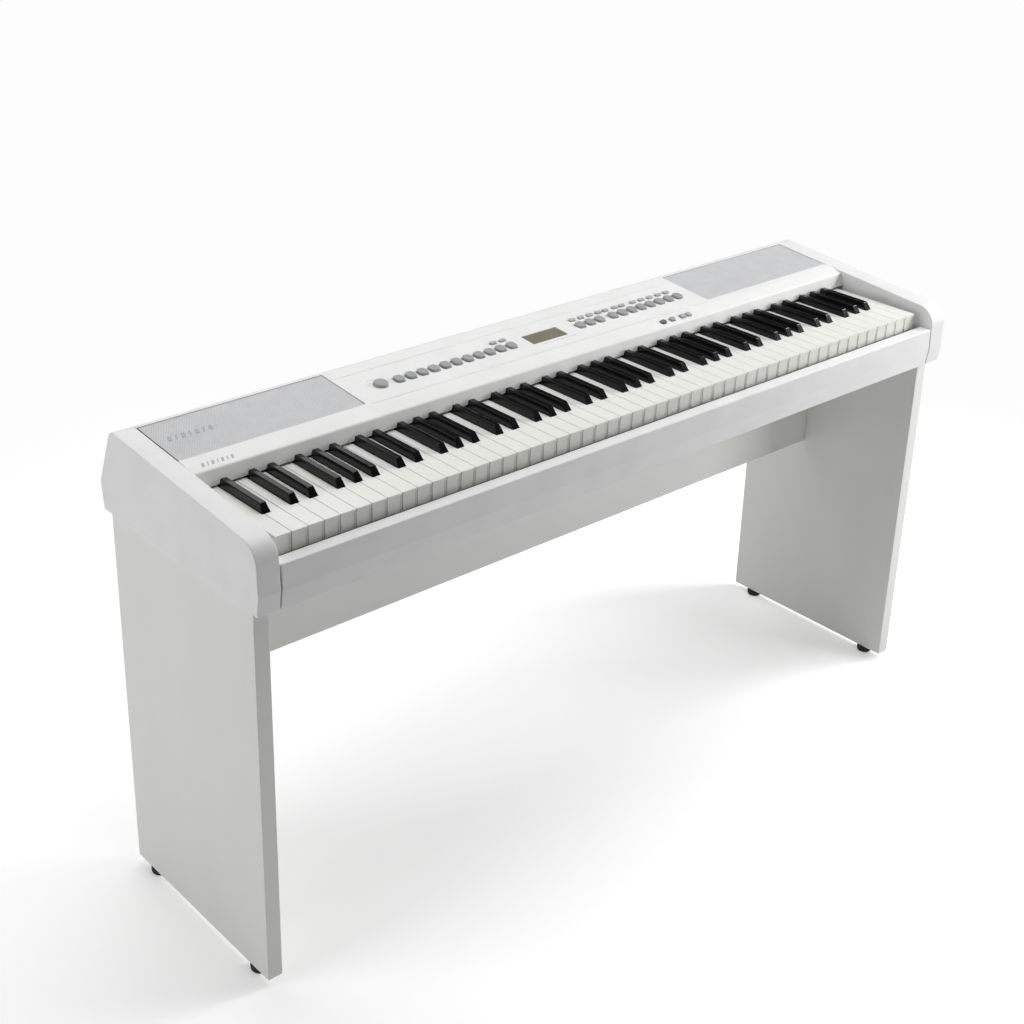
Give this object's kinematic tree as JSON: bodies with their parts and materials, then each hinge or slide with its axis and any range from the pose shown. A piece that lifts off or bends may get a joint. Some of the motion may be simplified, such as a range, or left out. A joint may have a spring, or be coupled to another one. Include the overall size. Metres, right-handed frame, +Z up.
{
  "type": "digital piano on stand",
  "caption": "White slab digital piano with a full-size keyboard, speaker grilles and a button panel, on a two-panel stand with a modesty board.",
  "frame": {"origin": "on the floor, at the middle of the overall width and depth", "axes": "+X along the keyboard towards the treble end, +Y towards the back, +Z up"},
  "size_m": [1.31, 0.3654, 0.6853],
  "materials": {
    "case_white": "fine satin texture, off-white",
    "stand_board": "fibreboard faced in satin white",
    "grille_mesh": "pressed silver mesh, fine holes",
    "white_key": "warm white, soft gloss",
    "black_key": "black, soft gloss",
    "button_grey": "light grey, satin",
    "display_window": "brown-grey tinted window",
    "circuit_board": "green solder resist",
    "black_plastic": "black, moulded",
    "foot_rubber": "black",
    "felt": "pressed red felt",
    "zinc_steel": "zinc plated"
  },
  "bodies": {
    "piano_case_and_stand": {"bottom_tray": "stand_board", "top_panel": "case_white", "rear_cover": "case_white", "left_cheek": "case_white", "right_cheek": "case_white", "key_slip": "case_white", "left_grille": "grille_mesh", "right_grille": "grille_mesh", "left_speaker": "black_plastic", "right_speaker": "black_plastic", "display_window": "display_window", "display_module": "circuit_board", "key_frame": "zinc_steel", "key_felt": "felt", "contact_board": "circuit_board", "main_board": "circuit_board", "panel_board": "circuit_board", "power_socket": "black_plastic", "pedal_socket": "black_plastic", "left_side_panel": "stand_board", "right_side_panel": "stand_board", "modesty_board": "stand_board", "foot_left_front": "foot_rubber", "foot_left_rear": "foot_rubber", "foot_right_front": "foot_rubber", "foot_right_rear": "foot_rubber", "left_bracket": "zinc_steel", "right_bracket": "zinc_steel", "left_thumb_screw": "black_plastic", "right_thumb_screw": "black_plastic"},
    "white_keys_octave_1_body": {"white_keys_octave_1": "white_key"},
    "white_keys_octave_2_body": {"white_keys_octave_2": "white_key"},
    "white_keys_octave_3_body": {"white_keys_octave_3": "white_key"},
    "white_key_c4_body": {"white_key_c4": "white_key"},
    "white_key_d4_body": {"white_key_d4": "white_key"},
    "white_key_e4_body": {"white_key_e4": "white_key"},
    "white_key_f4_body": {"white_key_f4": "white_key"},
    "white_key_g4_body": {"white_key_g4": "white_key"},
    "white_key_a4_body": {"white_key_a4": "white_key"},
    "white_key_b4_body": {"white_key_b4": "white_key"},
    "white_keys_octave_5_body": {"white_keys_octave_5": "white_key"},
    "white_keys_octave_6_body": {"white_keys_octave_6": "white_key"},
    "white_keys_octave_7_body": {"white_keys_octave_7": "white_key"},
    "black_keys_octave_1_body": {"black_keys_octave_1": "black_key"},
    "black_keys_octave_2_body": {"black_keys_octave_2": "black_key"},
    "black_keys_octave_3_body": {"black_keys_octave_3": "black_key"},
    "black_key_c_sharp4_body": {"black_key_c_sharp4": "black_key"},
    "black_key_d_sharp4_body": {"black_key_d_sharp4": "black_key"},
    "black_key_f_sharp4_body": {"black_key_f_sharp4": "black_key"},
    "black_key_g_sharp4_body": {"black_key_g_sharp4": "black_key"},
    "black_key_a_sharp4_body": {"black_key_a_sharp4": "black_key"},
    "black_keys_octave_5_body": {"black_keys_octave_5": "black_key"},
    "black_keys_octave_6_body": {"black_keys_octave_6": "black_key"},
    "black_keys_octave_7_body": {"black_keys_octave_7": "black_key"},
    "left_buttons_body": {"left_buttons": "button_grey"},
    "left_small_buttons_body": {"left_small_buttons": "button_grey"},
    "right_buttons_body": {"right_buttons": "button_grey"},
    "right_small_buttons_body": {"right_small_buttons": "button_grey"},
    "corner_buttons_body": {"corner_buttons": "button_grey"},
    "volume_knob_body": {"volume_knob": "button_grey"}
  },
  "joints": [
    {"name": "white_keys_octave_1_press", "type": "hinge", "parent": "piano_case_and_stand", "child": "white_keys_octave_1_body", "pos_m": [-0.50525, 0.07584, 0.632], "axis": [1, 0, 0], "range_deg": [0, 2.5], "stiffness_Nm_per_rad": 10.8, "springref_deg": -11.46},
    {"name": "white_keys_octave_2_press", "type": "hinge", "parent": "piano_case_and_stand", "child": "white_keys_octave_2_body", "pos_m": [-0.31725, 0.07584, 0.632], "axis": [1, 0, 0], "range_deg": [0, 2.5], "stiffness_Nm_per_rad": 8.4, "springref_deg": -11.46},
    {"name": "white_keys_octave_3_press", "type": "hinge", "parent": "piano_case_and_stand", "child": "white_keys_octave_3_body", "pos_m": [-0.15275, 0.07584, 0.632], "axis": [1, 0, 0], "range_deg": [0, 2.5], "stiffness_Nm_per_rad": 8.4, "springref_deg": -11.46},
    {"name": "white_key_c4_press", "type": "hinge", "parent": "piano_case_and_stand", "child": "white_key_c4_body", "pos_m": [-0.05875, 0.07584, 0.632], "axis": [1, 0, 0], "range_deg": [0, 2.5], "stiffness_Nm_per_rad": 1.2, "springref_deg": -11.46},
    {"name": "white_key_d4_press", "type": "hinge", "parent": "piano_case_and_stand", "child": "white_key_d4_body", "pos_m": [-0.03525, 0.07584, 0.632], "axis": [1, 0, 0], "range_deg": [0, 2.5], "stiffness_Nm_per_rad": 1.2, "springref_deg": -11.46},
    {"name": "white_key_e4_press", "type": "hinge", "parent": "piano_case_and_stand", "child": "white_key_e4_body", "pos_m": [-0.01175, 0.07584, 0.632], "axis": [1, 0, 0], "range_deg": [0, 2.5], "stiffness_Nm_per_rad": 1.2, "springref_deg": -11.46},
    {"name": "white_key_f4_press", "type": "hinge", "parent": "piano_case_and_stand", "child": "white_key_f4_body", "pos_m": [0.01175, 0.07584, 0.632], "axis": [1, 0, 0], "range_deg": [0, 2.5], "stiffness_Nm_per_rad": 1.2, "springref_deg": -11.46},
    {"name": "white_key_g4_press", "type": "hinge", "parent": "piano_case_and_stand", "child": "white_key_g4_body", "pos_m": [0.03525, 0.07584, 0.632], "axis": [1, 0, 0], "range_deg": [0, 2.5], "stiffness_Nm_per_rad": 1.2, "springref_deg": -11.46},
    {"name": "white_key_a4_press", "type": "hinge", "parent": "piano_case_and_stand", "child": "white_key_a4_body", "pos_m": [0.05875, 0.07584, 0.632], "axis": [1, 0, 0], "range_deg": [0, 2.5], "stiffness_Nm_per_rad": 1.2, "springref_deg": -11.46},
    {"name": "white_key_b4_press", "type": "hinge", "parent": "piano_case_and_stand", "child": "white_key_b4_body", "pos_m": [0.08225, 0.07584, 0.632], "axis": [1, 0, 0], "range_deg": [0, 2.5], "stiffness_Nm_per_rad": 1.2, "springref_deg": -11.46},
    {"name": "white_keys_octave_5_press", "type": "hinge", "parent": "piano_case_and_stand", "child": "white_keys_octave_5_body", "pos_m": [0.17625, 0.07584, 0.632], "axis": [1, 0, 0], "range_deg": [0, 2.5], "stiffness_Nm_per_rad": 8.4, "springref_deg": -11.46},
    {"name": "white_keys_octave_6_press", "type": "hinge", "parent": "piano_case_and_stand", "child": "white_keys_octave_6_body", "pos_m": [0.34075, 0.07584, 0.632], "axis": [1, 0, 0], "range_deg": [0, 2.5], "stiffness_Nm_per_rad": 8.4, "springref_deg": -11.46},
    {"name": "white_keys_octave_7_press", "type": "hinge", "parent": "piano_case_and_stand", "child": "white_keys_octave_7_body", "pos_m": [0.517, 0.07584, 0.632], "axis": [1, 0, 0], "range_deg": [0, 2.5], "stiffness_Nm_per_rad": 9.6, "springref_deg": -11.46},
    {"name": "black_keys_octave_1_press", "type": "hinge", "parent": "piano_case_and_stand", "child": "black_keys_octave_1_body", "pos_m": [-0.50189, 0.07584, 0.632], "axis": [1, 0, 0], "range_deg": [0, 2.9], "stiffness_Nm_per_rad": 4.2, "springref_deg": -11.46},
    {"name": "black_keys_octave_2_press", "type": "hinge", "parent": "piano_case_and_stand", "child": "black_keys_octave_2_body", "pos_m": [-0.31675, 0.07584, 0.632], "axis": [1, 0, 0], "range_deg": [0, 2.9], "stiffness_Nm_per_rad": 3.5, "springref_deg": -11.46},
    {"name": "black_keys_octave_3_press", "type": "hinge", "parent": "piano_case_and_stand", "child": "black_keys_octave_3_body", "pos_m": [-0.15225, 0.07584, 0.632], "axis": [1, 0, 0], "range_deg": [0, 2.9], "stiffness_Nm_per_rad": 3.5, "springref_deg": -11.46},
    {"name": "black_key_c_sharp4_press", "type": "hinge", "parent": "piano_case_and_stand", "child": "black_key_c_sharp4_body", "pos_m": [-0.04935, 0.07584, 0.632], "axis": [1, 0, 0], "range_deg": [0, 2.9], "stiffness_Nm_per_rad": 0.7, "springref_deg": -11.46},
    {"name": "black_key_d_sharp4_press", "type": "hinge", "parent": "piano_case_and_stand", "child": "black_key_d_sharp4_body", "pos_m": [-0.02115, 0.07584, 0.632], "axis": [1, 0, 0], "range_deg": [0, 2.9], "stiffness_Nm_per_rad": 0.7, "springref_deg": -11.46},
    {"name": "black_key_f_sharp4_press", "type": "hinge", "parent": "piano_case_and_stand", "child": "black_key_f_sharp4_body", "pos_m": [0.02014, 0.07584, 0.632], "axis": [1, 0, 0], "range_deg": [0, 2.9], "stiffness_Nm_per_rad": 0.7, "springref_deg": -11.46},
    {"name": "black_key_g_sharp4_press", "type": "hinge", "parent": "piano_case_and_stand", "child": "black_key_g_sharp4_body", "pos_m": [0.047, 0.07584, 0.632], "axis": [1, 0, 0], "range_deg": [0, 2.9], "stiffness_Nm_per_rad": 0.7, "springref_deg": -11.46},
    {"name": "black_key_a_sharp4_press", "type": "hinge", "parent": "piano_case_and_stand", "child": "black_key_a_sharp4_body", "pos_m": [0.07386, 0.07584, 0.632], "axis": [1, 0, 0], "range_deg": [0, 2.9], "stiffness_Nm_per_rad": 0.7, "springref_deg": -11.46},
    {"name": "black_keys_octave_5_press", "type": "hinge", "parent": "piano_case_and_stand", "child": "black_keys_octave_5_body", "pos_m": [0.17675, 0.07584, 0.632], "axis": [1, 0, 0], "range_deg": [0, 2.9], "stiffness_Nm_per_rad": 3.5, "springref_deg": -11.46},
    {"name": "black_keys_octave_6_press", "type": "hinge", "parent": "piano_case_and_stand", "child": "black_keys_octave_6_body", "pos_m": [0.34125, 0.07584, 0.632], "axis": [1, 0, 0], "range_deg": [0, 2.9], "stiffness_Nm_per_rad": 3.5, "springref_deg": -11.46},
    {"name": "black_keys_octave_7_press", "type": "hinge", "parent": "piano_case_and_stand", "child": "black_keys_octave_7_body", "pos_m": [0.50575, 0.07584, 0.632], "axis": [1, 0, 0], "range_deg": [0, 2.9], "stiffness_Nm_per_rad": 3.5, "springref_deg": -11.46},
    {"name": "left_buttons_press", "type": "slide", "parent": "piano_case_and_stand", "child": "left_buttons_body", "axis": [0, -0.0933, 0.9956], "range_m": [-0.0012, 0], "stiffness_N_per_m": 600, "springref_m": 0.002},
    {"name": "left_small_buttons_press", "type": "slide", "parent": "piano_case_and_stand", "child": "left_small_buttons_body", "axis": [0, -0.0933, 0.9956], "range_m": [-0.0012, 0], "stiffness_N_per_m": 600, "springref_m": 0.002},
    {"name": "right_buttons_press", "type": "slide", "parent": "piano_case_and_stand", "child": "right_buttons_body", "axis": [0, -0.0933, 0.9956], "range_m": [-0.0012, 0], "stiffness_N_per_m": 600, "springref_m": 0.002},
    {"name": "right_small_buttons_press", "type": "slide", "parent": "piano_case_and_stand", "child": "right_small_buttons_body", "axis": [0, -0.0933, 0.9956], "range_m": [-0.0012, 0], "stiffness_N_per_m": 600, "springref_m": 0.002},
    {"name": "corner_buttons_press", "type": "slide", "parent": "piano_case_and_stand", "child": "corner_buttons_body", "axis": [0, -0.2518, 0.9678], "range_m": [-0.0012, 0], "stiffness_N_per_m": 600, "springref_m": 0.002},
    {"name": "volume_knob_turn", "type": "hinge", "parent": "piano_case_and_stand", "child": "volume_knob_body", "pos_m": [-0.2836, 0.07084, 0.67903], "axis": [0, -0.0933, 0.9956], "range_deg": [-140, 140]}
  ]
}
